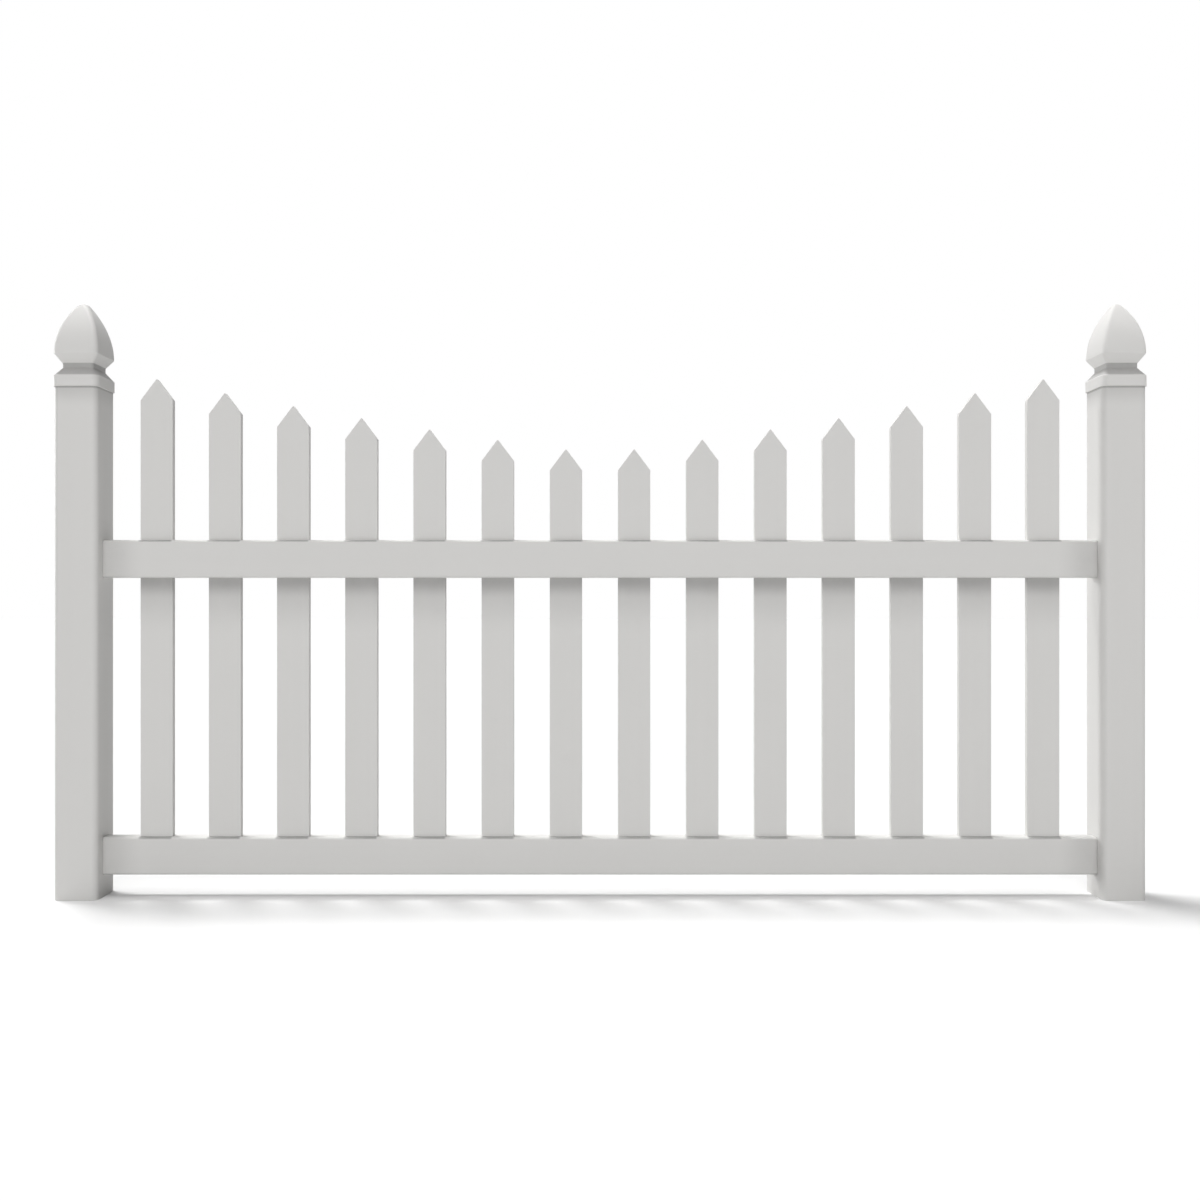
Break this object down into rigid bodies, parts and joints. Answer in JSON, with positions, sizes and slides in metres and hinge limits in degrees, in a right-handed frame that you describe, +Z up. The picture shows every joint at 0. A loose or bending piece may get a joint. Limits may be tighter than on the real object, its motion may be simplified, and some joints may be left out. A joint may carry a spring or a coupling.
{
  "type": "picket fence panel",
  "caption": "Scalloped vinyl picket fence panel: hollow posts with gothic caps, routed rails and pointed pickets that dip towards the middle.",
  "frame": {"origin": "centre of the left post's foot, at ground level", "axes": "+X along the fence from the left post to the right post, +Y to the back of the panel, +Z up"},
  "size_m": [2.5464, 0.108, 1.397],
  "materials": {
    "post_vinyl": "satin white extruded vinyl",
    "cap_vinyl": "satin white moulded vinyl",
    "rail_vinyl": "satin white extruded vinyl",
    "picket_vinyl": "satin white extruded vinyl"
  },
  "bodies": {
    "root": {"left_post": "post_vinyl", "right_post": "post_vinyl", "left_post_cap": "cap_vinyl", "right_post_cap": "cap_vinyl", "bottom_rail": "rail_vinyl", "top_rail": "rail_vinyl", "picket_01": "picket_vinyl", "picket_02": "picket_vinyl", "picket_03": "picket_vinyl", "picket_04": "picket_vinyl", "picket_05": "picket_vinyl", "picket_06": "picket_vinyl", "picket_07": "picket_vinyl", "picket_08": "picket_vinyl", "picket_09": "picket_vinyl", "picket_10": "picket_vinyl", "picket_11": "picket_vinyl", "picket_12": "picket_vinyl", "picket_13": "picket_vinyl", "picket_14": "picket_vinyl"}
  },
  "joints": []
}
